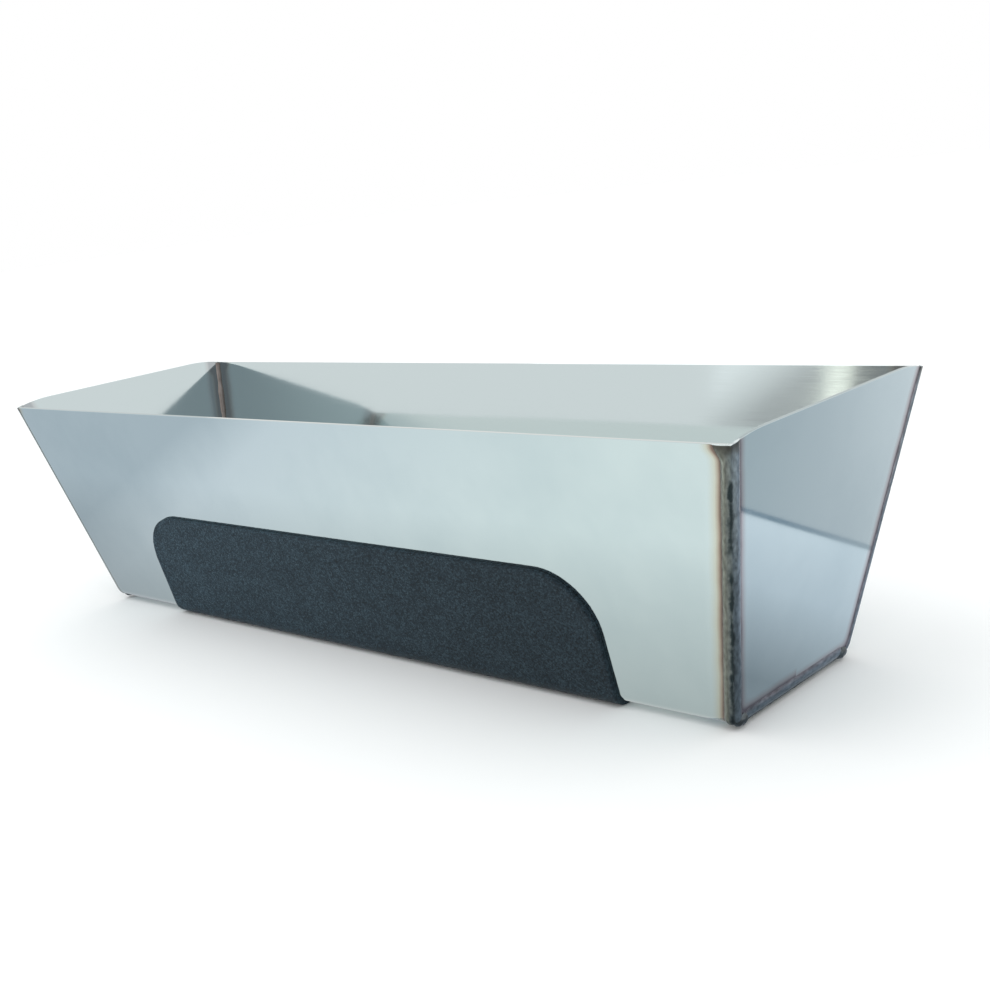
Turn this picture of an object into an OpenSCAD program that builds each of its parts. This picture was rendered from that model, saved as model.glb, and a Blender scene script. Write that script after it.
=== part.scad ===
// Mud pan: a folded sheet trough closed by two welded end plates, with a bonded grip pad under it.
// Millimetres. X runs along the pan, Y across it, Z up.
// The origin is under the pan's middle, level with the pad's underside.

/* [Trough] */
// Length of the mouth, over the end plates
mouth_l = 305; // [250:1:360]
// Width of the mouth, over the side walls
mouth_w = 90; // [80:1:120]
// Length of the base, over the end plates
base_l = 270; // [220:1:320]
// Width of the base, over the side walls
base_w = 56; // [50:1:70]
// Height of the side walls, measured upright
wall_h = 75; // [60:1:90]
// Thickness of the stainless sheet
sheet_t = 0.8; // [0.6:0.1:1.2]
// Outer radius of the two folds along the base
fold_r = 4; // [3:0.5:6]

/* [End plates] */
// How far the end plates stand above the side walls
end_rise = 1.5; // [0.5:0.1:3]
// Length over which a plate's top edge eases down to each side wall
ease_run = 13; // [8:1:20]

/* [Welds] */
// Radius of a weld bead
bead_r = 2.1; // [1.8:0.1:2.4]
// Distance from each outer face in to the middle of the bead
bead_inset = 1.2; // [1.1:0.1:1.4]
// Gap between the trough's cut end and the end plate, which the weld fills
root_gap = 0.4; // [0.2:0.1:0.6]
// How far the weld's root shows inside the corner, on the diagonal
root_show = 0.9; // [0.5:0.1:1.4]
// Radius of the filled knob where two weld runs meet
knob_r = 2.4; // [2.2:0.1:2.5]

/* [Grip pad] */
// Length of the pad along the pan
pad_l = 196.5; // [150:0.5:220]
// How far the pad climbs each side wall, along the slope
pad_climb = 38.3; // [25:0.1:50]
// How far the pad sits off the middle, towards the right end
pad_shift = 2; // [-5:0.5:5]
// Thickness of the pad
pad_t = 1.2; // [1:0.1:2]
// Corner radius of the pad
pad_corner_r = 18; // [8:1:24]
// Thickness of the adhesive film between the pad and the trough
film_t = 0.15; // [0.1:0.05:0.2]
// How far the film stays in from the pad's edge
film_margin = 0.6; // [0.3:0.1:1.5]

/* [Hidden] */

base_z = pad_t + film_t;                                // underside of the sheet
side_lean = atan((mouth_w - base_w) / 2 / wall_h);      // side wall from upright
end_lean = atan((mouth_l - base_l) / 2 / wall_h);       // end plate from upright
side_slant = wall_h / cos(side_lean);                   // side wall along its slope
fold_angle = 90 - side_lean;                            // how far each fold turns
fold_steps = 8;
round_steps = 12;
ease_steps = 6;
over = 20;                                              // how far a cutting shape runs past what it cuts
steel = [0.76, 0.80, 0.81];
weld_steel = [0.42, 0.43, 0.44];

// Distance from the sharp foot of a wall to where a fold of radius r starts
function fold_foot(r) = r * tan(fold_angle / 2);

// One rounded fold on the +Y side, d inside the sheet's outer face, from the base up to the wall
function fold_arc(d) =
    let (cy = base_w / 2 - fold_foot(fold_r))
    [for (i = [0 : fold_steps])
        let (turn = -90 + fold_angle * i / fold_steps)
        [cy + (fold_r - d) * cos(turn), base_z + fold_r + (fold_r - d) * sin(turn)]];

// The point at height s along the +Y wall's slope, d inside its outer face
function wall_point(s, d) =
    [base_w / 2 + s * sin(side_lean) - d * cos(side_lean),
     base_z + s * cos(side_lean) + d * sin(side_lean)];

function mirrored(points) = [for (i = [len(points) - 1 : -1 : 0]) [-points[i][0], points[i][1]]];
function reversed(points) = [for (i = [len(points) - 1 : -1 : 0]) points[i]];

// The trough's section line, d inside the outer face, from the front rim under the base to the rear rim
function section_line(d, s) =
    let (half = concat(fold_arc(d), [wall_point(s, d)]))
    concat(mirrored(half), half);

// A skin between two depths of the section line, run along X
module folded_skin(outer_d, inner_d, s, length) {
    rotate([90, 0, 90])
        linear_extrude(length, center = true)
            polygon(concat(section_line(outer_d, s), reversed(section_line(inner_d, s))));
}

// Everything between the two leaning end planes, each moved in by gap
module between_ends(gap) {
    drop = 2 * over;
    slope = tan(end_lean);
    half_low = base_l / 2 - gap / cos(end_lean) - (drop + base_z) * slope;
    half_high = half_low + (2 * drop + wall_h) * slope;
    rotate([90, 0, 0])
        linear_extrude(mouth_w + 2 * over, center = true)
            polygon([[-half_low, -drop], [half_low, -drop],
                     [half_high, drop + wall_h], [-half_high, drop + wall_h]]);
}

module trough_sheet() {
    color(steel)
        intersection() {
            folded_skin(0, sheet_t, side_slant, mouth_l + over);
            between_ends(sheet_t + root_gap);
        }
}

// Outline of an end plate in its own plane: across, and up the slope from the base
module end_outline() {
    climb = 1 / cos(end_lean);
    rim = [mouth_w / 2, wall_h];
    ease_r = (ease_run * ease_run + end_rise * end_rise) / (2 * end_rise);
    ease = [for (i = [0 : ease_steps])
        let (run = ease_run * (1 - i / ease_steps))
        [rim[0] - ease_run + run, wall_h + end_rise - (ease_r - sqrt(ease_r * ease_r - run * run))]];
    half = concat([for (p = fold_arc(0)) [p[0], p[1] - base_z]], ease);
    polygon([for (p = concat(mirrored(half), half)) [p[0], p[1] * climb]]);
}

module end_plate_right() {
    color(steel)
        translate([base_l / 2, 0, base_z])
            rotate([0, end_lean, 0])
                rotate([90, 0, 90])
                    translate([0, 0, -sheet_t])
                        linear_extrude(sheet_t) end_outline();
}

module end_plate_left() {
    mirror([1, 0, 0]) end_plate_right();
}

// The middle of the bead at the front right corner, at height z above the base
function bead_point(z) =
    let (in_x = bead_inset / cos(end_lean), in_y = bead_inset / cos(side_lean))
    [base_l / 2 + z * tan(end_lean) - in_x,
     -base_w / 2 - z * tan(side_lean) + in_y,
     base_z + z];

// The height above the base at which the middle of the base bead runs
knob_z = bead_inset;

// A round bar from point a to point b, run past each end by past
module bar(a, b, r, past_a, past_b) {
    v = b - a;
    translate(a)
        rotate([0, acos(v[2] / norm(v)), atan2(v[1], v[0])])
            translate([0, 0, -past_a])
                cylinder(r = r, h = norm(v) + past_a + past_b, $fn = 48);
}

// The full bar of the front right run, before the sheets are taken from it
module corner_bar() {
    intersection() {
        bar(bead_point(knob_z), bead_point(wall_h), bead_r, 0, over);
        translate([0, -mouth_w, base_z + knob_z])
            cube([mouth_l, mouth_w, wall_h - knob_z]);
    }
}

// The full bar of the right base run
module base_bar() {
    a = bead_point(knob_z);
    bar(a, [a[0], -a[1], a[2]], bead_r, 0, 0);
}

module knob() {
    translate(bead_point(knob_z)) sphere(r = knob_r, $fn = 48);
}

// The space inside the sheets, less what the welds' roots fill along the corners
module inner_space() {
    intersection() {
        rotate([90, 0, 90])
            linear_extrude(mouth_l + over, center = true)
                polygon(section_line(sheet_t + root_show, side_slant + over));
        between_ends(sheet_t + root_show);
    }
}

// What every weld stops at
module weld_limits() {
    trough_sheet();
    end_plate_right();
    inner_space();
}

module weld_front_right() {
    color(weld_steel)
        difference() {
            corner_bar();
            knob();
            weld_limits();
        }
}

module weld_base_right() {
    color(weld_steel)
        difference() {
            base_bar();
            for (across = [0, 1]) mirror([0, across, 0]) {
                knob();
                corner_bar();
            }
            weld_limits();
        }
}

module knob_right() {
    difference() {
        knob();
        weld_limits();
    }
}

module weld_front_left() {
    mirror([1, 0, 0]) weld_front_right();
}

module weld_rear_right() {
    mirror([0, 1, 0]) weld_front_right();
}

module weld_rear_left() {
    mirror([1, 0, 0]) weld_rear_right();
}

module weld_base_left() {
    mirror([1, 0, 0]) weld_base_right();
}

module weld_corner_knobs() {
    color(weld_steel)
        for (across = [0, 1], along = [0, 1])
            mirror([along, 0, 0]) mirror([0, across, 0]) knob_right();
}

// The upright outline that a layer of the grip is trimmed to, seen from the side
module grip_outline(margin) {
    half = pad_l / 2 - margin;
    top = base_z + (pad_climb - margin) * cos(side_lean);
    r = pad_corner_r - margin;
    arc = [for (i = [0 : round_steps])
        let (turn = 90 * i / round_steps)
        [half - r + r * cos(turn), top - r + r * sin(turn)]];
    translate([pad_shift, 0])
        polygon(concat([[-half, -over], [half, -over]], arc, mirrored(arc)));
}

// One layer of the grip, between two distances outside the sheet
module grip_layer(outer, inner, margin) {
    intersection() {
        folded_skin(-outer, -inner, pad_climb + over, pad_l + over);
        rotate([90, 0, 0])
            linear_extrude(mouth_w + 2 * over, center = true) grip_outline(margin);
    }
}

module grip_pad() {
    color([0.20, 0.25, 0.28]) grip_layer(film_t + pad_t, film_t, 0);
}

module grip_adhesive() {
    color([0.55, 0.56, 0.52]) grip_layer(film_t, 0, film_margin);
}

trough_sheet();
end_plate_left();
end_plate_right();
weld_front_left();
weld_front_right();
weld_rear_left();
weld_rear_right();
weld_base_left();
weld_base_right();
weld_corner_knobs();
grip_pad();
grip_adhesive();
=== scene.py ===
import math

import bmesh
import bpy
from mathutils import Matrix, Vector


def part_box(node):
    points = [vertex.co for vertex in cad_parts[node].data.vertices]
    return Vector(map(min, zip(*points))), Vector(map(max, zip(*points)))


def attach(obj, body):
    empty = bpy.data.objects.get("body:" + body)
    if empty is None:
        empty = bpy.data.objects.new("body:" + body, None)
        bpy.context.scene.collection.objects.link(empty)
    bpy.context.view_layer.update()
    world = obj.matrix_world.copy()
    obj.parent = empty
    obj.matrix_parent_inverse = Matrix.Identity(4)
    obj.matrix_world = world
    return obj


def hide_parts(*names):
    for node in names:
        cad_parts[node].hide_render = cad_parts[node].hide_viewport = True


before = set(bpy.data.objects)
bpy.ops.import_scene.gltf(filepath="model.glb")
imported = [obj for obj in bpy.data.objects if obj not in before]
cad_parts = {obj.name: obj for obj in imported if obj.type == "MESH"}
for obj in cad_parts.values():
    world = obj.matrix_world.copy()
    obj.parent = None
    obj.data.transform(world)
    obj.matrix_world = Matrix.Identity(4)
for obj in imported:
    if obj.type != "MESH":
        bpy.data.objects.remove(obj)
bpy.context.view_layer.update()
print("frame loaded")

mm = 0.001

# the sheet metal: one folded trough and two end plates
pan = {
    "mouthLength": 305 * mm,
    "mouthWidth": 90 * mm,
    "baseLength": 270 * mm,
    "baseWidth": 56 * mm,
    "wallHeight": 75 * mm,
    "sheet": 0.8 * mm,
    "foldRadius": 4 * mm,
    "endRise": 1.5 * mm,       # end plates stand this far above the side walls
    "easeRun": 13 * mm,        # and ease down to them over this length
    "seamOverlap": 0.05 * mm,  # plates and sheet run this far into each other under the welds
    "cutEvery": 6 * mm,        # mesh spacing on the flats
    "waveDepth": 0.12 * mm,    # how far the flats are out of true
    "waveLength": 70 * mm,
    "edgeBreak": 0.1 * mm,     # deburred sheared edge
}

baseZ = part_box("trough_sheet")[0].z                    # underside of the sheet
sideSlope = (pan["mouthWidth"] - pan["baseWidth"]) / 2 / pan["wallHeight"]
endSlope = (pan["mouthLength"] - pan["baseLength"]) / 2 / pan["wallHeight"]
sideLean = math.atan(sideSlope)
endLean = math.atan(endSlope)
foldTurn = math.pi / 2 - sideLean
foldFoot = pan["foldRadius"] * math.tan(foldTurn / 2)  # sharp foot to the start of the fold
wallSlant = pan["wallHeight"] / math.cos(sideLean)
plateInset = pan["sheet"] - pan["seamOverlap"]


def deselectAll():
    if bpy.context.object and bpy.context.object.mode != "OBJECT":
        bpy.ops.object.mode_set(mode="OBJECT")
    bpy.ops.object.select_all(action="DESELECT")


def makeActive(piece):
    deselectAll()
    piece.select_set(True)
    bpy.context.view_layer.objects.active = piece


def editing(piece):
    makeActive(piece)
    bpy.ops.object.mode_set(mode="EDIT")
    bpy.ops.mesh.select_all(action="SELECT")


def pick(piece, kind, test):
    # selects vertices, edges or faces whose middle passes the test
    bpy.ops.mesh.select_mode(type={"verts": "VERT", "edges": "EDGE", "faces": "FACE"}[kind])
    bpy.ops.mesh.select_all(action="DESELECT")
    mesh = bmesh.from_edit_mesh(piece.data)
    for item in getattr(mesh, kind):
        if kind == "verts":
            middle = item.co
        else:
            middle = sum((v.co for v in item.verts), Vector()) / len(item.verts)
        if test(middle):
            item.select_set(True)
    mesh.select_flush_mode()
    bmesh.update_edit_mesh(piece.data)


def cutAcross(place, normal, **clear):
    # cuts the whole mesh by a plane, and clears a side of it if asked
    bpy.ops.mesh.select_all(action="SELECT")
    bpy.ops.mesh.bisect(plane_co=place, plane_no=normal, **clear)


def applyModifier(piece, kind, **settings):
    makeActive(piece)
    modifier = piece.modifiers.new(kind.title(), kind)
    for key, value in settings.items():
        setattr(modifier, key, value)
    bpy.ops.object.modifier_apply(modifier=modifier.name)


def cloudTexture(name, size, depth=2):
    texture = bpy.data.textures.new(name, "CLOUDS")
    texture.noise_scale = size
    texture.noise_depth = depth
    return texture


def tidyMesh(piece):
    editing(piece)
    bpy.ops.mesh.remove_doubles(threshold=0.004 * mm)
    bpy.ops.mesh.normals_make_consistent(inside=False)
    bpy.ops.object.mode_set(mode="OBJECT")


def shadeSmooth(piece, degrees=35):
    makeActive(piece)
    bpy.ops.object.shade_smooth_by_angle(angle=math.radians(degrees))


def mirrorPiece(piece, *along):
    # turns a piece into its mirror image across the pan's middle, in place
    makeActive(piece)
    bpy.ops.transform.resize(value=[-1 if i in along else 1 for i in range(3)], center_override=(0, 0, 0))
    bpy.ops.object.transform_apply(location=True, rotation=True, scale=True)
    editing(piece)
    bpy.ops.mesh.normals_make_consistent(inside=False)
    bpy.ops.object.mode_set(mode="OBJECT")
    return piece


def mirroredCopy(piece, name, along):
    makeActive(piece)
    bpy.ops.object.duplicate()
    copy = bpy.context.object
    copy.name = copy.data.name = name
    return mirrorPiece(copy, along)


def linear(hexColour):
    # sRGB hex to the linear colour that a shader takes
    channels = [int(hexColour[i:i + 2], 16) / 255 for i in (1, 3, 5)]
    return [c / 12.92 if c <= 0.04045 else ((c + 0.055) / 1.055) ** 2.4 for c in channels] + [1]


def addNode(tree, kind, inputs=(), ramp=None, **settings):
    # one node with its settings; an input is a value or another node's socket
    node = tree.nodes.new(kind)
    for key, value in settings.items():
        setattr(node, key, value)
    for socket, value in dict(inputs).items():
        if isinstance(value, bpy.types.NodeSocket):
            tree.links.new(value, node.inputs[socket])
        else:
            node.inputs[socket].default_value = value
    for i, (place, colour) in enumerate(ramp or ()):
        stops = node.color_ramp.elements
        stop = stops[i] if i < 2 else stops.new(place)
        stop.position = place
        stop.color = linear(colour) if isinstance(colour, str) else [colour] * 3 + [1]
    return node


def calc(tree, operation, *values):
    return addNode(tree, "ShaderNodeMath", enumerate(values), operation=operation).outputs[0]


def dot(tree, first, second):
    return addNode(tree, "ShaderNodeVectorMath", {0: first, 1: second},
                   operation="DOT_PRODUCT").outputs["Value"]


def scaled(tree, colour, amount):
    return addNode(tree, "ShaderNodeVectorMath", {0: colour, "Scale": amount}, operation="SCALE").outputs[0]


def remap(tree, value, low, high, toLow=0, toHigh=1, curve="LINEAR"):
    return addNode(tree, "ShaderNodeMapRange",
                   {"Value": value, "From Min": low, "From Max": high, "To Min": toLow, "To Max": toHigh},
                   interpolation_type=curve).outputs[0]


def switch(tree, flag, off, on):
    return remap(tree, flag, 0, 1, off, on)


def blend(tree, share, first, second):
    return addNode(tree, "ShaderNodeMix", {"Factor": share, 6: first, 7: second},
                   data_type="RGBA").outputs[2]


def noise(tree, place, size, detail, roughness=0.5):
    inputs = {"Vector": place, "Scale": 1 / size, "Detail": detail, "Roughness": roughness}
    return addNode(tree, "ShaderNodeTexNoise", inputs).outputs["Fac"]


def bumpFrom(tree, height, strength, depth):
    inputs = {"Height": height, "Strength": strength, "Distance": depth}
    return addNode(tree, "ShaderNodeBump", inputs).outputs[0]


def objectPlace(tree):
    return addNode(tree, "ShaderNodeTexCoord").outputs["Object"]


def surface(tree, inputs):
    shader = addNode(tree, "ShaderNodeBsdfPrincipled", inputs)
    addNode(tree, "ShaderNodeOutputMaterial", {0: shader.outputs[0]})


def newMaterial(name):
    material = bpy.data.materials.new(name)
    material.use_nodes = True
    material.node_tree.nodes.clear()
    return material, material.node_tree


def dress(piece, *materials):
    piece.data.materials.clear()
    for material in materials:
        piece.data.materials.append(material)


camera = {
    "place": (313.1 * mm, -283.5 * mm, 139.5 * mm),
    "azimuth": 44.15,     # round from the front of the pan
    "elevation": 13.39,
    "roll": -7.28,
    "lens": 49.82,
}


def makeCamera():
    bpy.ops.object.camera_add()
    cam = bpy.context.object
    cam.name = "camera"
    cam.data.lens = camera["lens"]
    cam.data.sensor_width = 36
    cam.data.clip_start = 10 * mm
    turn = Matrix.Rotation(math.radians(camera["azimuth"]), 4, "Z")
    tilt = Matrix.Rotation(math.radians(90 - camera["elevation"]), 4, "X")
    roll = Matrix.Rotation(math.radians(camera["roll"]), 4, "Z")
    cam.matrix_world = Matrix.Translation(camera["place"]) @ turn @ tilt @ roll
    bpy.context.scene.camera = cam


stainless = {
    "steel": "#C8D6D8",
    "cloud": "#BFCED1",
    "inside": "#C8D3D4",       # the inner faces are a little greyer
    "rim": "#A9B6B7",          # and the sheared, ground rim duller
    "rimDepth": 2 * mm,
    "roughLow": 0.055,
    "roughHigh": 0.11,
    "grainWidth": 0.25 * mm,   # rolling grain, drawn coarser than the real 0.05 mm so that it shows
    "grainLength": 14 * mm,
    "grainDepth": 0.003 * mm,
    "cloudSize": 55 * mm,
    "tintWander": 0.5 * mm,
    "wanderSize": 9 * mm,
    "tintCorner": 3 * mm,      # how softly a plate's two tinted edges run together
    "tintFlare": 2.2 * mm,     # the tint on the trough spreads this much at the rim
    "flareDepth": 4.5 * mm,
    "innerTint": 0.42,         # strength of the tint on the inner faces
    "innerSpread": 2.0 * mm,   # and how much further it reaches there
    "rearCooler": 1.1 * mm,    # the tint stops this much sooner beside the narrower rear beads
}

# heat tint beside a weld, in millimetres from the corner: brown, straw, bare
troughTint = [(0, "#746A66"), (3, "#7A6A62"), (3.6, "#AEA496"), (4.4, "#C6CABF"), (6.5, stainless["steel"])]
plateTint = [(0, "#756E75"), (3.3, "#786E76"), (4.2, "#B5B3B4"), (6, stainless["steel"])]
tintSpan = 10   # the tint's colour ramp covers this many millimetres


def coldRolledStainless(name, tintStops, heated, flare, leftCooler):
    # 2B cold-rolled stainless steel: a milky mirror that shows clear outlines of what stands round it,
    # with faint clouds, a lengthwise rolling grain and a thin brown-to-straw heat tint beside each weld
    s = stainless
    material, tree = newMaterial(name)
    place = objectPlace(tree)
    split = addNode(tree, "ShaderNodeSeparateXYZ", {0: place}).outputs
    height = calc(tree, "SUBTRACT", split["Z"], baseZ)

    # distance in from the welded edges
    if heated == "ends":
        reach = calc(tree, "MULTIPLY_ADD", height, endSlope, pan["baseLength"] / 2)
        away = calc(tree, "SUBTRACT", reach, calc(tree, "ABSOLUTE", split["X"]))
    else:
        reach = calc(tree, "MULTIPLY_ADD", height, sideSlope, pan["baseWidth"] / 2)
        aside = calc(tree, "SUBTRACT", reach, calc(tree, "ABSOLUTE", split["Y"]))
        away = calc(tree, "SMOOTH_MIN", aside, height, s["tintCorner"])

    # inner faces, whose normal points back to the pan's middle, are tinted less
    facing = addNode(tree, "ShaderNodeNewGeometry").outputs["True Normal"]
    level = addNode(tree, "ShaderNodeVectorMath", {0: place, 1: (1, 1, 0)}, operation="MULTIPLY").outputs[0]
    isOuter = calc(tree, "GREATER_THAN", dot(tree, level, facing), 0)
    strength = switch(tree, isOuter, s["innerTint"], 1)

    # the rear and the left front corners were heated less
    isRear = calc(tree, "GREATER_THAN", split["Y"], 0)
    isRight = calc(tree, "GREATER_THAN", split["X"], 0)
    frontCooler = switch(tree, isRight, leftCooler, 0)
    cooler = switch(tree, isRear, frontCooler, s["rearCooler"])
    away = calc(tree, "ADD", away, switch(tree, isOuter, -s["innerSpread"], cooler))

    # the rim's top face was ground after welding, so it is bare
    below = calc(tree, "SUBTRACT", pan["wallHeight"], height)
    upward = addNode(tree, "ShaderNodeSeparateXYZ", {0: facing}).outputs["Z"]
    isUp = calc(tree, "GREATER_THAN", upward, 0.6)
    isRim = calc(tree, "LESS_THAN", below, s["rimDepth"])
    isGround = calc(tree, "MULTIPLY", isUp, isRim)
    strength = switch(tree, isGround, strength, 0)

    # the tint's edge wanders, and flares at the rim
    shift = remap(tree, noise(tree, place, s["wanderSize"], 2), 0.25, 0.75,
                  -s["tintWander"] / 2, s["tintWander"] / 2)
    spread = remap(tree, below, 0, s["flareDepth"], flare, 0, "SMOOTHERSTEP")
    moved = calc(tree, "SUBTRACT", calc(tree, "ADD", away, shift), spread)
    share = calc(tree, "DIVIDE", moved, tintSpan * mm)
    tint = addNode(tree, "ShaderNodeValToRGB", {0: share},
                   ramp=[(distance / tintSpan, colour) for distance, colour in tintStops]).outputs[0]

    # clouds, and a grain that runs along the sheet
    clouds = noise(tree, place, s["cloudSize"], 4, 0.6)
    stretch = addNode(tree, "ShaderNodeMapping",
                      {"Vector": place, "Scale": (s["grainWidth"] / s["grainLength"], 1, 1)}).outputs[0]
    grain = noise(tree, stretch, s["grainWidth"], 3, 0.7)
    steel = blend(tree, remap(tree, clouds, 0.42, 0.7), linear(s["steel"]), linear(s["cloud"]))
    steel = blend(tree, isOuter, linear(s["inside"]), steel)
    heatedColour = blend(tree, strength, steel, tint)
    colour = blend(tree, remap(tree, share, 0.45, 0.8), heatedColour, steel)
    colour = blend(tree, isGround, colour, linear(s["rim"]))
    both = calc(tree, "MULTIPLY", clouds, grain)
    rough = remap(tree, both, 0.15, 0.36, s["roughLow"], s["roughHigh"])
    surface(tree, {"Base Color": colour, "Metallic": 1.0, "Roughness": rough,
                   "Normal": bumpFrom(tree, grain, 0.12, s["grainDepth"])})
    return material


weldFinish = {
    # across the bead, from the toe on the plate to the toe on the wall
    # the ramp is partly painted light: a painted highlight on the wall-side ridge and painted shade on the
    # flanks beside the middle groove
    "ridgeColoursAndShade": [(0, "#7B7579"), (0.2, "#7B8790"), (0.5, "#677072"), (0.75, "#6E716A"), (0.9, "#939990"),
               (1, "#7A6B66")],
    "scale": "#2A3436",
    "crust": "#3F3E39",
    "ground": "#D2DADA",
    "scaleMiddle": 0.08,       # share of the bead's half width, towards the wall
    "scaleHalf": 0.15,
    "streakLength": 9 * mm,
    "spotSize": 1.4 * mm,
    "blobSize": 4.2 * mm,
    "crustDepth": 2.6 * mm,    # burnt crust at the start of the run
    "blobEnd": 13 * mm,        # above this the scale comes in blobs
    "restart": 29.5 * mm,      # where the run was stopped and taken up again
    "restartHalf": 3.6 * mm,
    "reliefDepth": 0.09 * mm,
}


def oxidisedWeld(name):
    # stainless weld metal left as welded: grey ridges with a greenish wall side and a blue plate side, whose
    # colour ramp also holds a painted highlight on the wall-side ridge and painted shade towards the middle,
    # lengthwise streaks, a soft broken line of near-black scale down the middle, brown toes,
    # a burnt crust where the run starts and a bright top where the rim was ground flush
    w = weldFinish
    material, tree = newMaterial(name)
    across, along, start, dressed = (
        addNode(tree, "ShaderNodeAttribute", attribute_name=key).outputs["Fac"]
        for key in ("across", "along", "start", "dressed"))
    place = objectPlace(tree)
    run = calc(tree, "MULTIPLY", along, 1 / w["streakLength"])
    flat = addNode(tree, "ShaderNodeCombineXYZ", {"X": across, "Y": run}).outputs[0]
    streaks = noise(tree, flat, 1 / 4, 4)
    spots = noise(tree, place, w["spotSize"], 3)
    beads = noise(tree, place, w["blobSize"], 2)

    # the ridges, whose colour bands wander a little; the bands carry painted light and shade as well as the
    # weld's own colours
    wander = noise(tree, flat, 1 / 1.3, 2)
    shifted = calc(tree, "ADD", across, calc(tree, "MULTIPLY_ADD", wander, 0.36, -0.18))
    band = remap(tree, shifted, -1, 1)
    ridgeColourAndShade = addNode(tree, "ShaderNodeValToRGB", {0: band}, ramp=w["ridgeColoursAndShade"]).outputs[0]
    ridgeColourAndShade = scaled(tree, ridgeColourAndShade, remap(tree, streaks, 0.3, 0.7, 0.62, 1.3))

    # the scale line: soft edged, in blobs near the start and with one break
    distance = calc(tree, "ABSOLUTE", calc(tree, "SUBTRACT", shifted, w["scaleMiddle"]))
    distance = calc(tree, "ADD", distance, calc(tree, "MULTIPLY_ADD", spots, 0.3, -0.15))
    distance = calc(tree, "ADD", distance, calc(tree, "MULTIPLY_ADD", beads, -0.36, 0.18))
    ratio = calc(tree, "DIVIDE", distance, w["scaleHalf"])
    line = remap(tree, ratio, 0.1, 1.7, 1, 0, "SMOOTHSTEP")
    blobs = remap(tree, beads, 0.45, 0.62, 0.15, 1)
    settled = remap(tree, start, w["blobEnd"] - 2 * mm, w["blobEnd"] + 2 * mm)
    steady = calc(tree, "MAXIMUM", blobs, settled)
    fromBreak = calc(tree, "ABSOLUTE", calc(tree, "SUBTRACT", start, w["restart"]))
    unbroken = remap(tree, fromBreak, w["restartHalf"] * 0.2, w["restartHalf"] * 1.2, 0.15, 1, "SMOOTHSTEP")
    patchy = remap(tree, beads, 0.3, 0.5, 0.8, 1)
    for part in (steady, unbroken, patchy):
        line = calc(tree, "MULTIPLY", line, part)
    colour = blend(tree, line, ridgeColourAndShade, linear(w["scale"]))

    # the burnt crust at the start, and the ground rim above it
    crust = calc(tree, "MULTIPLY_ADD", spots, 2.4 * mm, start)
    crust = remap(tree, crust, w["crustDepth"] * 0.6, w["crustDepth"] * 1.9, 0.85, 0, "SMOOTHSTEP")
    colour = blend(tree, crust, colour, linear(w["crust"]))
    ground = remap(tree, start, 0.05 * mm, 0.2 * mm, 1, 0)
    ground = calc(tree, "MAXIMUM", ground, dressed)
    colour = blend(tree, ground, colour, linear(w["ground"]))
    relief = calc(tree, "ADD", spots, streaks)
    surface(tree, {"Base Color": colour, "Metallic": 0.95, "Roughness": remap(tree, line, 0, 1, 0.3, 0.5),
                   "Normal": bumpFrom(tree, relief, 0.4, w["reliefDepth"])})
    return material


def weldRootFinish(name):
    # stainless weld metal at the back of the run, inside the pan: a thin pale strip, lightly pink
    material, tree = newMaterial(name)
    spots = noise(tree, objectPlace(tree), 2 * mm, 3)
    colour = addNode(tree, "ShaderNodeValToRGB", {0: spots},
                     ramp=[(0.3, "#7C736E"), (0.7, "#958D88")]).outputs[0]
    surface(tree, {"Base Color": colour, "Metallic": 1.0, "Roughness": 0.32,
                   "Normal": bumpFrom(tree, spots, 0.4, 0.08 * mm)})
    return material


gripFinish = {
    "dark": "#111C22",
    "mid": "#1F2F39",
    "light": "#3A4D57",
    "gritSize": 0.42 * mm,    # mineral grit under a rubber coat
    "gritRelief": 0.12 * mm,
    "mottle": 7 * mm,
    "paintedSheenLeft": 1.4,             # painted sheen: the colour is made lighter towards the left end
    "paintedSheenRight": 0.8,             # than towards the right one
    "paintedSheenReach": 80 * mm,
}


def grittedRubber(name):
    # anti-slip sheet, mineral grit under a matt rubber coat: a slate skin broken into dull light
    # and dark specks
    g = gripFinish
    material, tree = newMaterial(name)
    place = objectPlace(tree)
    grit = addNode(tree, "ShaderNodeTexVoronoi",
                   {"Vector": place, "Scale": 1 / g["gritSize"]}, feature="F1")
    fine = noise(tree, place, g["gritSize"] / 1.6, 3, 0.7)
    mottle = noise(tree, place, g["mottle"], 2)
    speck = addNode(tree, "ShaderNodeSeparateColor", {0: grit.outputs["Color"]}).outputs[0]
    mixed = calc(tree, "ADD", calc(tree, "MULTIPLY_ADD", speck, 0.34, -0.17), fine)
    mixed = calc(tree, "ADD", mixed, calc(tree, "MULTIPLY_ADD", mottle, 0.16, -0.08))
    colour = addNode(tree, "ShaderNodeValToRGB", {0: mixed},
                     ramp=[(0.3, g["dark"]), (0.52, g["mid"]), (0.76, g["light"])]).outputs[0]
    # painted sheen: the colour is scaled lighter towards the left end and darker towards the right, standing
    # in for light on the rubber
    along = addNode(tree, "ShaderNodeSeparateXYZ", {0: place}).outputs["X"]
    paintedSheen = remap(tree, along, -g["paintedSheenReach"], g["paintedSheenReach"], g["paintedSheenLeft"], g["paintedSheenRight"])
    colour = scaled(tree, colour, paintedSheen)
    height = calc(tree, "SUBTRACT", fine, grit.outputs["Distance"])
    surface(tree, {"Base Color": colour, "Roughness": remap(tree, fine, 0, 1, 0.55, 0.85),
                   "Specular IOR Level": 0.2, "Normal": bumpFrom(tree, height, 0.5, g["gritRelief"])})
    return material


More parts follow.
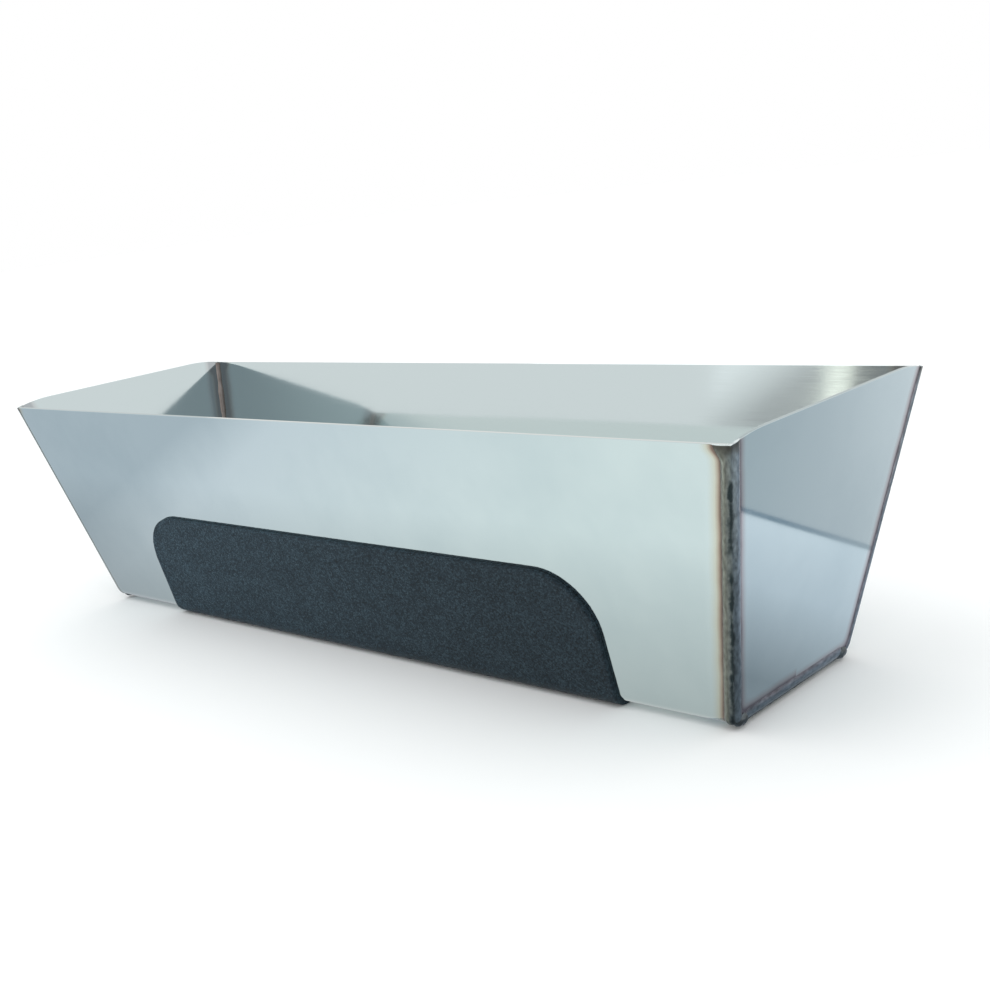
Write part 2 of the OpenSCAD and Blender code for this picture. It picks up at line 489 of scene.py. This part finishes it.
def adhesiveFilm(name):
    # acrylic transfer adhesive: a cloudy, slightly glossy film, seen only as a thin line round the pad
    material, tree = newMaterial(name)
    cloud = noise(tree, objectPlace(tree), 3 * mm, 2)
    colour = addNode(tree, "ShaderNodeValToRGB", {0: cloud},
                     ramp=[(0.3, "#6C767B"), (0.7, "#8B969B")]).outputs[0]
    surface(tree, {"Base Color": colour, "Roughness": 0.35, "IOR": 1.47})
    return material


def makeTrough():
    deselectAll()
    bpy.ops.mesh.primitive_plane_add(size=1, location=(0, 0, baseZ))
    sheet = bpy.context.object
    sheet.name = sheet.data.name = "troughSheet"
    sheet.scale = (pan["mouthLength"] + 20 * mm, pan["baseWidth"], 1)
    bpy.ops.object.transform_apply(location=True, rotation=True, scale=True)

    # fold up both walls
    editing(sheet)
    for side in (-1, 1):
        pick(sheet, "edges", lambda m: m.y * side > pan["baseWidth"] * 0.45 and m.z < baseZ + mm)
        bpy.ops.mesh.extrude_region_move(TRANSFORM_OT_translate={
            "value": (0, side * pan["wallHeight"] * sideSlope, pan["wallHeight"])})
    pick(sheet, "edges", lambda m: abs(abs(m.y) - pan["baseWidth"] / 2) < 0.01 * mm and m.z < baseZ + mm
         and abs(m.x) < mm)
    bpy.ops.mesh.bevel(offset=foldFoot, segments=8, profile=0.5, affect="EDGES")

    # cut the ends to the lean of the end plates
    endPlace = pan["baseLength"] / 2 - plateInset / math.cos(endLean)
    for side in (-1, 1):
        cutAcross((side * endPlace, 0, baseZ), (side * math.cos(endLean), 0, -math.sin(endLean)),
                  clear_outer=True)

    # spacing lines on the flats
    steps = int(pan["mouthLength"] / pan["cutEvery"])
    for i in range(1, steps):
        cutAcross(((i / steps - 0.5) * pan["mouthLength"], 0, 0), (1, 0, 0))
    for i in range(1, int(pan["wallHeight"] / pan["cutEvery"])):
        cutAcross((0, 0, baseZ + i * pan["cutEvery"]), (0, 0, 1))
    for i in range(-4, 5):
        cutAcross((0, i * pan["cutEvery"], 0), (0, 1, 0))
    bpy.ops.object.mode_set(mode="OBJECT")
    tidyMesh(sheet)
    finishSheet(sheet)
    return sheet


def finishSheet(sheet):
    # out of true, then thickness inwards, then the broken edges
    waves = cloudTexture(sheet.name + "Waves", pan["waveLength"], 1)
    applyModifier(sheet, "DISPLACE", texture=waves, texture_coords="LOCAL",
                  strength=pan["waveDepth"], mid_level=0.5)
    applyModifier(sheet, "SOLIDIFY", thickness=pan["sheet"], offset=-1, use_even_offset=True)
    applyModifier(sheet, "BEVEL", width=pan["edgeBreak"], segments=2, limit_method="ANGLE",
                  angle_limit=math.radians(50))
    shadeSmooth(sheet, 20)   # the folds turn under 10 degrees a step, the broken edges 30


def makeEndPlate():
    # drawn flat in the upright plane through the origin, then leaned and moved out to the right end
    low = pan["baseWidth"] / 2
    climb = 1 / math.cos(endLean)
    deselectAll()
    bpy.ops.mesh.primitive_plane_add(size=1, rotation=(math.pi / 2, 0, math.pi / 2))
    plate = bpy.context.object
    plate.name = plate.data.name = "endPlateRight"
    bpy.ops.object.transform_apply(location=True, rotation=True, scale=True)
    editing(plate)
    mesh = bmesh.from_edit_mesh(plate.data)
    for v in mesh.verts:
        height = pan["wallHeight"] if v.co.z > 0 else plateInset
        half = low + height * sideSlope - plateInset / math.cos(sideLean)
        v.co = (0, math.copysign(half, v.co.y), height)
    bmesh.update_edit_mesh(plate.data)

    # the bottom corners follow the folds' inner radius
    pick(plate, "verts", lambda m: m.z < mm)
    innerRadius = pan["foldRadius"] - plateInset
    bpy.ops.mesh.bevel(offset=innerRadius * math.tan(foldTurn / 2), segments=8, profile=0.5,
                       affect="VERTICES")

    # the top stands proud of the walls and eases down to them
    pick(plate, "edges", lambda m: m.z > pan["wallHeight"] - mm)
    bpy.ops.mesh.subdivide(number_cuts=45)
    easeRadius = (pan["easeRun"] ** 2 + pan["endRise"] ** 2) / (2 * pan["endRise"])
    topHalf = low + pan["wallHeight"] * sideSlope - plateInset / math.cos(sideLean)
    mesh = bmesh.from_edit_mesh(plate.data)
    for v in mesh.verts:
        if v.co.z > pan["wallHeight"] - 0.1 * mm:
            run = max(0, pan["easeRun"] - (topHalf - abs(v.co.y)))
            drop = easeRadius - math.sqrt(easeRadius ** 2 - run ** 2)
            v.co.z += pan["endRise"] - drop
    bmesh.update_edit_mesh(plate.data)
    for i in range(1, 13):
        cutAcross((0, 0, i * pan["cutEvery"]), (0, 0, 1))
    for i in range(-7, 8):
        cutAcross((0, i * pan["cutEvery"], 0), (0, 1, 0))

    bpy.ops.mesh.select_all(action="SELECT")
    bpy.ops.transform.resize(value=(1, 1, climb), center_override=(0, 0, 0))
    bpy.ops.transform.rotate(value=-endLean, orient_axis="Y", center_override=(0, 0, 0))
    bpy.ops.transform.translate(value=(pan["baseLength"] / 2, 0, baseZ))
    bpy.ops.object.mode_set(mode="OBJECT")
    tidyMesh(plate)
    faceOutwards(plate)
    finishSheet(plate)
    return plate


def faceOutwards(plate):
    # a flat sheet has no inside, so its faces are turned to the outer side in code
    editing(plate)
    mesh = bmesh.from_edit_mesh(plate.data)
    if sum(f.normal.x for f in mesh.faces) < 0:
        bpy.ops.mesh.flip_normals()
    bpy.ops.object.mode_set(mode="OBJECT")


weld = {
    "ringEvery": 0.45 * mm,
    "ripple": 1.9 * mm,        # spacing of the frozen ripples
    "rippleDepth": 0.06,
    "taper": 2.2 * mm,         # the bead narrows over this length at the ends of its run
    "backDepth": 0.35 * mm,    # how deep its hidden back lies in the sheets
    "cornerDepth": 0.74 * mm,  # and in the corner between them
    "lump": 0.14 * mm,         # random lumps
    "lumpSize": 2.4 * mm,
    "flare": 2.0 * mm,         # the bead spreads this much further on the wall where its run starts
    "flareDepth": 4.5 * mm,
    "riseDepth": 3 * mm,       # the bead rises to its full height over this length
    "deepStart": 9 * mm,       # the groove fills up over this length from the rim
    "rootLeg": 1.3 * mm,       # the weld's back, inside the pan
    "wellDown": 60 * mm,       # a run place that counts as clear of the start and of the restart
}

# how far each bead reaches from the corner along the wall and along the plate, how proud it stands,
# and how far it was dressed back to bright metal
cornerBeads = {
    "weld_front_right": {"onWall": 3.0 * mm, "onPlate": 3.5 * mm, "proud": 0.6 * mm},
    "weld_rear_right": {"onWall": 2.6 * mm, "onPlate": 2.0 * mm, "proud": 0.35 * mm},
    "weld_front_left": {"onWall": 0.5 * mm, "onPlate": 2.6 * mm, "proud": 0.1 * mm, "dressed": 0.75},
    "weld_rear_left": {"onWall": 2.6 * mm, "onPlate": 2.6 * mm, "proud": 0.4 * mm},
}
baseBead = {"onWall": 3.4 * mm, "onPlate": 3.3 * mm, "proud": 0.5 * mm}


def outline(run):
    # the edge line of the right end, run metres from the middle of the base towards the front rim:
    # across, height over the base, and the outward direction there
    flat = pan["baseWidth"] / 2 - foldFoot
    arc = pan["foldRadius"] * foldTurn
    side = -1 if run >= 0 else 1
    run = abs(run)
    if run <= flat:
        y, z, out = run, 0, (0, -1)
    elif run <= flat + arc:
        turn = (run - flat) / pan["foldRadius"]
        y = flat + pan["foldRadius"] * math.sin(turn)
        z = pan["foldRadius"] * (1 - math.cos(turn))
        out = (math.sin(turn), -math.cos(turn))
    else:
        climbed = run - flat - arc
        y = flat + pan["foldRadius"] * math.sin(foldTurn) + climbed * math.sin(sideLean)
        z = pan["foldRadius"] * (1 - math.cos(foldTurn)) + climbed * math.cos(sideLean)
        out = (math.cos(sideLean), -math.sin(sideLean))
    corner = Vector((pan["baseLength"] / 2 + z * endSlope, side * y, baseZ + z))
    wallOut = Vector((0, side * out[0], out[1]))
    return corner, wallOut


def smooth(a, b, x):
    t = min(1, max(0, (x - a) / (b - a)))
    return t * t * (3 - 2 * t)


def beadHeight(share):
    # height over the sheet, as a share of proud: a shallow groove in the middle and a ridge each side of it
    return 0.1 + 0.9 * smooth(0.05, 0.42, share) - 1.15 * smooth(0.6, 1.08, share)


def weldStrip(name, runs, ring, columns):
    # a grid bent into a tube, one row of vertices per ring, then closed at both ends
    deselectAll()
    bpy.ops.mesh.primitive_grid_add(x_subdivisions=len(columns) - 1, y_subdivisions=len(runs) - 1, size=2)
    strip = bpy.context.object
    strip.name = strip.data.name = name
    across = strip.data.attributes.new("across", "FLOAT", "POINT")
    along = strip.data.attributes.new("along", "FLOAT", "POINT")
    start = strip.data.attributes.new("start", "FLOAT", "POINT")
    for i, v in enumerate(strip.data.vertices):
        row, column = divmod(i, len(columns))
        share, depth = columns[column]
        v.co, start.data[i].value = ring(runs[row], share, depth)
        across.data[i].value = share
        along.data[i].value = runs[row]
    editing(strip)
    bpy.ops.mesh.remove_doubles(threshold=0.002 * mm)
    bpy.ops.mesh.select_mode(type="EDGE")
    bpy.ops.mesh.select_all(action="DESELECT")
    bpy.ops.mesh.select_non_manifold()
    bpy.ops.mesh.fill_holes(sides=0)
    bpy.ops.mesh.select_all(action="SELECT")
    bpy.ops.mesh.normals_make_consistent(inside=False)
    bpy.ops.object.mode_set(mode="OBJECT")
    return strip


def weldFrame(run):
    # the corner at this run, the outward directions of wall and plate, and the way in across the plate
    corner, wallOut = outline(run)
    plateOut = Vector((math.cos(endLean), 0, -math.sin(endLean)))
    intoPlate = -(wallOut - wallOut.dot(plateOut) * plateOut).normalized()
    return corner, wallOut, plateOut, intoPlate


def beadRing(size, firstRun, lastRun, startsAtRim):
    # gives the place of each bead point; the bead swells, ripples and tapers along its run
    def ring(run, share, depth):
        corner, wallOut, plateOut, intoPlate = weldFrame(run)
        travelled = abs(lastRun - run)
        swell = 1 + weld["rippleDepth"] * abs(math.sin(math.pi * run / weld["ripple"]))
        swell *= 1 + 0.08 * math.sin(run / (5.3 * mm)) + 0.05 * math.sin(run / (2.1 * mm) + 1)
        taper = smooth(0, weld["taper"], abs(run - firstRun))
        filled = 1
        reach = size["onWall"] if share > 0 else size["onPlate"]
        if startsAtRim:
            filled = smooth(0, weld["deepStart"], travelled)
            if share > 0 and size["onWall"] > 2.9 * mm:
                reach += weld["flare"] * (1 - smooth(0, weld["flareDepth"], travelled))
        else:
            taper *= smooth(0, weld["taper"], travelled)
            travelled = weld["wellDown"]
        reach *= abs(share) * (0.94 + 0.06 * swell) * (0.55 + 0.45 * taper)
        place = corner + (Vector((-1, 0, 0)) if share > 0 else intoPlate) * reach
        facing = smooth(-0.35, 0.35, share)
        out = (wallOut * facing + plateOut * (1 - facing)).normalized()
        if depth:
            inwards = -(wallOut + plateOut) if share == 0 else -out
            return place + inwards * depth, travelled
        high = beadHeight(abs(share)) * size["proud"] * swell * (0.35 + 0.65 * taper)
        high *= 1 - (1 - filled) * (1 - smooth(0.1, 0.75, abs(share))) * 0.7
        high *= 0.3 + 0.7 * smooth(0, weld["riseDepth"], travelled)
        return place + out * high, travelled
    return ring


def runRings(first, last):
    count = max(2, int(abs(last - first) / weld["ringEvery"]))
    return [first + (last - first) * i / count for i in range(count + 1)]


def makeBead(name, size, first, last, startsAtRim):
    # the outer bead; its hidden back lies inside the sheets and fills the corner between their cut ends
    outer = [(i / 10, 0) for i in range(10, -11, -1)]
    back = [(share, weld["backDepth"] if share else weld["cornerDepth"])
            for share in (-0.9, -0.3, 0, 0.3, 0.9)]
    bead = weldStrip(name, runRings(first, last), beadRing(size, first, last, startsAtRim),
                     outer + back + outer[:1])
    dressed = bead.data.attributes.new("dressed", "FLOAT", "POINT")
    for item in dressed.data:
        item.value = size.get("dressed", 0)
    lumps = cloudTexture(name + "Lumps", weld["lumpSize"], 2)
    applyModifier(bead, "DISPLACE", texture=lumps, texture_coords="LOCAL",
                  strength=weld["lump"] * size["proud"] / (0.6 * mm), mid_level=0.62)
    shadeSmooth(bead, 60)
    return bead


def rootRing(run, share, depth):
    # the weld's back: a slim hollow fillet in the inner corner
    corner, wallOut, plateOut, intoPlate = weldFrame(run)
    inner = corner - (wallOut + plateOut) * (pan["sheet"] - 0.04 * mm)
    if depth:
        return inner + (wallOut + plateOut) * depth, weld["wellDown"]
    leg = weld["rootLeg"] * (1 + 0.12 * math.sin(run / (2.7 * mm)) + 0.08 * math.sin(run / (1.1 * mm)))
    direction = Vector((-1, 0, 0)) if share > 0 else intoPlate
    lift = 0.3 * (1 - abs(share)) ** 1.5 * leg
    return inner + direction * leg * abs(share) - (wallOut + plateOut) * lift, weld["wellDown"]


def makeRoot(name, first, last):
    shares = [(i / 4, 0) for i in range(4, -5, -1)] + [(0, 0.3 * mm), (1, 0)]
    root = weldStrip(name, runRings(first, last), rootRing, shares)
    shadeSmooth(root, 60)
    return root


def joinPieces(main, *others):
    makeActive(main)
    for other in others:
        other.select_set(True)
    bpy.ops.object.join()
    return main


knob = {
    "radius": 2.0 * mm,
    "shortOfFold": 0.3 * mm,   # its middle lies this far short of the fold
    "underWall": 1.1 * mm,     # and this far in from the sheet's outer face
    "underPlate": 0.6 * mm,    # and from the plate's
    "stretch": (0.95, 1.25, 1),
    "lump": 0.5 * mm,
    "lumpSize": 1.6 * mm,
}


def makeKnobs(name):
    # a lump of filler at each bottom corner, between the corner run and the base run
    runAtKnob = pan["baseWidth"] / 2 - foldFoot - knob["shortOfFold"]
    lumps = []
    for endSide in (1, -1):
        for run in (runAtKnob, -runAtKnob):
            corner, wallOut = outline(run)
            centre = corner - wallOut * knob["underWall"] - Vector((knob["underPlate"], 0, 0))
            centre.x *= endSide
            deselectAll()
            bpy.ops.mesh.primitive_ico_sphere_add(subdivisions=4, radius=knob["radius"], location=centre)
            lump = bpy.context.object
            editing(lump)
            bpy.ops.transform.resize(value=knob["stretch"], center_override=centre)
            bpy.ops.object.mode_set(mode="OBJECT")
            bpy.ops.object.transform_apply(location=True, rotation=True, scale=True)
            for key, value in (("across", -0.4), ("along", corner.y), ("start", 1.5 * mm)):
                attribute = lump.data.attributes.new(key, "FLOAT", "POINT")
                for item in attribute.data:
                    item.value = value
            applyModifier(lump, "DISPLACE", texture=cloudTexture("knobLumps", knob["lumpSize"]),
                          texture_coords="LOCAL", strength=knob["lump"], mid_level=0.6)
            shadeSmooth(lump, 60)
            lumps.append(lump)
    knobs = joinPieces(lumps[0], *lumps[1:])
    knobs.name = knobs.data.name = name
    return knobs


def makeWelds():
    # every run is laid at the right front corner and then mirrored to its own corner
    flat = pan["baseWidth"] / 2 - foldFoot
    rim = flat + pan["foldRadius"] * foldTurn + wallSlant - foldFoot - 0.03 * mm
    made = {}
    for node, size in cornerBeads.items():
        name = "".join(word.title() for word in node.split("_")).replace("Weld", "weld", 1)
        bead = makeBead(name, size, flat + 0.9 * mm, rim, True)
        root = makeRoot(name + "Root", flat, rim - 0.5 * mm)
        dress(bead, beadMetal)
        dress(root, rootMetal)
        axes = ([0] if "left" in node else []) + ([1] if "rear" in node else [])
        made[node] = mirrorPiece(joinPieces(bead, root), *axes)
    base = makeBead("weldBaseRight", baseBead, -(flat - 0.2 * mm), flat - 0.2 * mm, False)
    baseRoot = makeRoot("weldBaseRoot", -flat, flat)
    dress(base, beadMetal)
    dress(baseRoot, rootMetal)
    made["weld_base_right"] = joinPieces(base, baseRoot)
    made["weld_base_left"] = mirroredCopy(made["weld_base_right"], "weldBaseLeft", 0)
    return made


padLow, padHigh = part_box("grip_pad")

grip = {
    "length": padHigh.x - padLow.x,
    "middle": (padHigh.x + padLow.x) / 2,   # it was stuck on slightly off the pan's middle
    "top": padHigh.z,
    "thickness": 1.19 * mm,
    "pressed": 0.13 * mm,      # how far its edges are pressed down
    "film": 0.15 * mm,
    "cornerRadius": 18 * mm,
    "cutEvery": 0.95 * mm,
    "edgeRound": 0.3 * mm,
    "gritDepth": 0.08 * mm,
    "gritSize": 0.9 * mm,
}


def makeGrip():
    # drawn on the adhesive film's face like the trough, then thickened outwards
    filmZ = baseZ - grip["film"]
    half = pan["baseWidth"] / 2 + grip["film"] * (1 / math.cos(sideLean) - sideSlope)
    rise = grip["top"] - filmZ
    deselectAll()
    bpy.ops.mesh.primitive_plane_add(size=1, location=(grip["middle"], 0, filmZ))
    pad = bpy.context.object
    pad.name = pad.data.name = "gripPad"
    pad.scale = (grip["length"], 2 * half, 1)
    bpy.ops.object.transform_apply(location=True, rotation=True, scale=True)
    editing(pad)
    for side in (-1, 1):
        pick(pad, "edges", lambda m: m.y * side > half * 0.9 and m.z < filmZ + mm)
        bpy.ops.mesh.extrude_region_move(TRANSFORM_OT_translate={
            "value": (0, side * rise * sideSlope, rise)})
    pick(pad, "edges", lambda m: abs(abs(m.y) - half) < 0.01 * mm and abs(m.x - grip["middle"]) < mm
         and m.z < filmZ + mm)
    bpy.ops.mesh.bevel(offset=(pan["foldRadius"] + grip["film"]) * math.tan(foldTurn / 2),
                       segments=8, profile=0.5, affect="EDGES")
    pick(pad, "verts", lambda m: m.z > filmZ + 20 * mm)
    bpy.ops.mesh.bevel(offset=grip["cornerRadius"], segments=16, profile=0.5, affect="VERTICES")

    # a fine mesh, so that the grit is real relief
    steps = int(grip["length"] / grip["cutEvery"])
    for i in range(1, steps):
        cutAcross((grip["middle"] + (i / steps - 0.5) * grip["length"], 0, 0), (1, 0, 0))
    levels = int(rise / grip["cutEvery"])
    for i in range(4, levels + 1):
        cutAcross((0, 0, filmZ + i * grip["cutEvery"]), (0, 0, 1))
    rows = int(pan["baseWidth"] / 2 / grip["cutEvery"]) - 3
    for i in range(-rows, rows + 1):
        cutAcross((0, i * grip["cutEvery"], 0), (0, 1, 0))
    bpy.ops.object.mode_set(mode="OBJECT")
    tidyMesh(pad)
    pad.vertex_groups.new(name="backSkin")
    applyModifier(pad, "SOLIDIFY", thickness=grip["thickness"], offset=1, use_even_offset=True,
                  shell_vertex_group="backSkin")
    shapeEdges(pad)
    grit = cloudTexture("gripGrit", grip["gritSize"], 3)
    grit.contrast = 1.4
    applyModifier(pad, "DISPLACE", texture=grit, texture_coords="LOCAL", strength=grip["gritDepth"],
                  mid_level=1.0)
    shadeSmooth(pad, 25)
    return pad


def shapeEdges(pad):
    # the pad is rubbed down after it's stuck on: the edge of its back closes on to the steel past the film,
    # and the edge of its face is rounded
    skin = pad.vertex_groups["backSkin"].index
    editing(pad)
    bpy.ops.mesh.select_mode(type="EDGE")
    bpy.ops.mesh.select_all(action="DESELECT")
    mesh = bmesh.from_edit_mesh(pad.data)
    groups = mesh.verts.layers.deform.verify()
    for edge in mesh.edges:
        back = [v for v in edge.verts if skin in v[groups]]
        front = [v for v in edge.verts if skin not in v[groups]]
        if front and back:
            back[0].co += (back[0].co - front[0].co).normalized() * grip["pressed"]
        elif not back and edge.calc_face_angle(0) > math.radians(50):
            edge.select_set(True)
    bmesh.update_edit_mesh(pad.data)
    bpy.ops.mesh.bevel(offset=grip["edgeRound"], segments=2, affect="EDGES")
    bpy.ops.object.mode_set(mode="OBJECT")


studio = {
    "floor": "#F2F4F4",
    "worldLight": 1.0,
    "topPower": 0.55,
    "keyPower": 1.5,
    "keySize": 0.7,
    "keyPlace": (-0.25, -0.35, 0.9),
    "cardTurn": 148.4,      # the floor cards beside the right end are turned by this
    "cardWidth": 150,       # their width, in millimetres like every card
    "cardMiddle": -105,     # and how far their middle lies along their side
}
brightest = 2   # a ramp's colours stop at 1, so light is stored as a share of this


def shade(tree, direction, stops):
    # light that changes along a direction; stops are millimetres along it and the light there
    far = dot(tree, objectPlace(tree), direction)
    first, last = stops[0][0], stops[-1][0]
    ramp = addNode(tree, "ShaderNodeValToRGB", {0: remap(tree, far, first * mm, last * mm)})
    for i, (where, light) in enumerate(stops):
        elements = ramp.color_ramp.elements
        stop = elements[i] if i < 2 else elements.new(1)
        stop.position = (where - first) / (last - first)
        stop.color = [c / brightest for c in light] + [1]
    return scaled(tree, ramp.outputs[0], brightest)


def card(name, size, place, turn, *shades, even=None):
    # a card for the shiny metal to mirror, with one light all over or shaded; nothing but the steel sees it
    deselectAll()
    bpy.ops.mesh.primitive_plane_add(size=1, location=[c * mm for c in place],
                                     rotation=[math.radians(angle) for angle in turn])
    board = bpy.context.object
    board.name = name
    board.scale = (size[0] * mm, size[1] * mm, 1)
    bpy.ops.object.transform_apply(location=True, rotation=True, scale=True)
    material, tree = newMaterial(name)
    light = [*even, 1] if even else shade(tree, *shades[0])
    for other in shades[1:]:
        light = addNode(tree, "ShaderNodeVectorMath", {0: light, 1: shade(tree, *other)},
                        operation="MULTIPLY").outputs[0]
    glow = addNode(tree, "ShaderNodeEmission", {"Color": light})
    addNode(tree, "ShaderNodeOutputMaterial", {0: glow.outputs[0]})
    dress(board, material)
    board.visible_camera = board.visible_diffuse = board.visible_shadow = False


def grey(*stops):
    return [(where, (light, light, light)) for where, light in stops]


def makeFloorCards():
    # in front: dimmer and bluer to the left, shaded close to the pan
    card("frontCard", (704, 340), (-218, -160, 1), (0, 0, 0),
         ((1, 0, 0), [(-210, (0.61, 0.66, 0.72)), (-150, (0.88, 0.91, 0.96)), (40, (1.05, 1.08, 1.06))]),
         ((0, 1, 0), grey((-90, 1), (-60, 0.8), (-30, 0.6))))

    # beside the right end, turned so that their near edges run along the dark strip
    turn = math.radians(studio["cardTurn"])
    side = (math.cos(turn), math.sin(turn), 0)
    out = (side[1], -side[0], 0)
    # the foot card is painted darkest along its edge by the pan: a painted shadow at the pan's foot for the
    # steel to mirror
    strips = (("footCard", 44, 153.6, out,
               [(70, (0.3, 0.34, 0.38)), (115, (0.7, 0.76, 0.84)), (150, (0.86, 0.92, 1.0))]),
              ("darkStrip", 153.6, 157, side, [(-120, (0.24, 0.32, 0.4)), (-90, (0.48, 0.54, 0.6))]),
              ("farCard", 157, 420, side,
               [(-140, (0.5, 0.56, 0.61)), (-105, (0.62, 0.66, 0.71)), (-65, (0.88, 0.9, 0.94))]))
    for name, near, far, direction, stops in strips:
        reach = (near + far) / 2
        place = [out[i] * reach + side[i] * studio["cardMiddle"] for i in range(2)] + [1]
        card(name, (studio["cardWidth"], far - near), place, (0, 0, studio["cardTurn"]), (direction, stops))


def makeRoomCards():
    # a large card in front for the room, as the inside of the rear wall and the two ends mirror it,
    # with a bright window edge, a narrow lamp and a dark board standing before it
    card("roomCard", (2860, 1250), (410, -1130, 775), (90, 0, 20),
         ((1, 0, 0), [(750, (0.72, 0.76, 0.78)), (930, (0.46, 0.49, 0.52))]))
    card("windowEdge", (107, 300), (-302.5, -600, 300), (90, 0, 0),
         ((0.61, 0, -0.79), grey((-395, 1.2), (-365, 0.88), (-345, 0.56))))
    card("lampStrip", (22, 300), (-238, -600, 300), (90, 0, 0), even=(1.65, 1.62, 1.45))
    card("darkBoard", (166, 300), (-144, -600, 300), (90, 0, 0), ((1, 0, 0), grey((-227, 0.32), (-61, 0.2))))

    # a warm panel high up at the rear left, which the inside mirrors twice
    card("warmPanel", (440, 280), (-456, 425, 470), (90, 0, 227), even=(1.48, 1.37, 1.33))


def makeStudio():
    deselectAll()
    bpy.ops.mesh.primitive_plane_add(size=8)
    floor = bpy.context.object
    floor.name = "floor"
    material, tree = newMaterial("paintedBoard")
    shader = addNode(tree, "ShaderNodeBsdfPrincipled",
                     {"Base Color": linear(studio["floor"]), "Roughness": 0.9, "Specular IOR Level": 0.1})
    addNode(tree, "ShaderNodeOutputMaterial", {0: shader.outputs[0]})
    dress(floor, material)

    world = bpy.data.worlds.new("studio")
    bpy.context.scene.world = world
    world.use_nodes = True
    world.node_tree.nodes["Background"].inputs["Color"].default_value = [1, 1, 1, 1]
    world.node_tree.nodes["Background"].inputs["Strength"].default_value = studio["worldLight"]

    bpy.ops.object.light_add(type="SUN", location=(0, 0, 2))
    top = bpy.context.object
    top.name = "topLight"
    top.data.energy = studio["topPower"]
    top.data.angle = math.radians(90)

    bpy.ops.object.light_add(type="AREA", location=studio["keyPlace"])
    key = bpy.context.object
    key.name = "keyLight"
    key.data.shape = "SQUARE"
    key.data.size = studio["keySize"]
    key.data.energy = studio["keyPower"]
    key.rotation_euler = Vector(studio["keyPlace"]).to_track_quat("Z", "Y").to_euler()

    makeFloorCards()
    makeRoomCards()
    bpy.context.scene.view_settings.view_transform = "Standard"


makeCamera()

troughSteel = coldRolledStainless("coldRolledStainlessTrough", troughTint, "ends",
                                  stainless["tintFlare"], 4.5 * mm)
plateSteel = coldRolledStainless("coldRolledStainlessPlates", plateTint, "sides", 0, 1 * mm)
beadMetal = oxidisedWeld("oxidisedWeld")
rootMetal = weldRootFinish("weldRoot")
gripRubber = grittedRubber("grittedRubber")
filmAcrylic = adhesiveFilm("acrylicAdhesive")

trough = makeTrough()
dress(trough, troughSteel)
print("trough made")

plateRight = makeEndPlate()
dress(plateRight, plateSteel)
plateLeft = mirroredCopy(plateRight, "endPlateLeft", 0)
print("end plates made")

pieces = {"trough_sheet": trough, "end_plate_right": plateRight, "end_plate_left": plateLeft}
pieces.update(makeWelds())
pieces["weld_corner_knobs"] = makeKnobs("weldCornerKnobs")
dress(pieces["weld_corner_knobs"], beadMetal)
print("welds made")

pieces["grip_pad"] = makeGrip()
dress(pieces["grip_pad"], gripRubber)
dress(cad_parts["grip_adhesive"], filmAcrylic)
print("grip made")

for node, piece in pieces.items():
    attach(piece, "root")
    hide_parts(node)

makeStudio()
print("studio set")
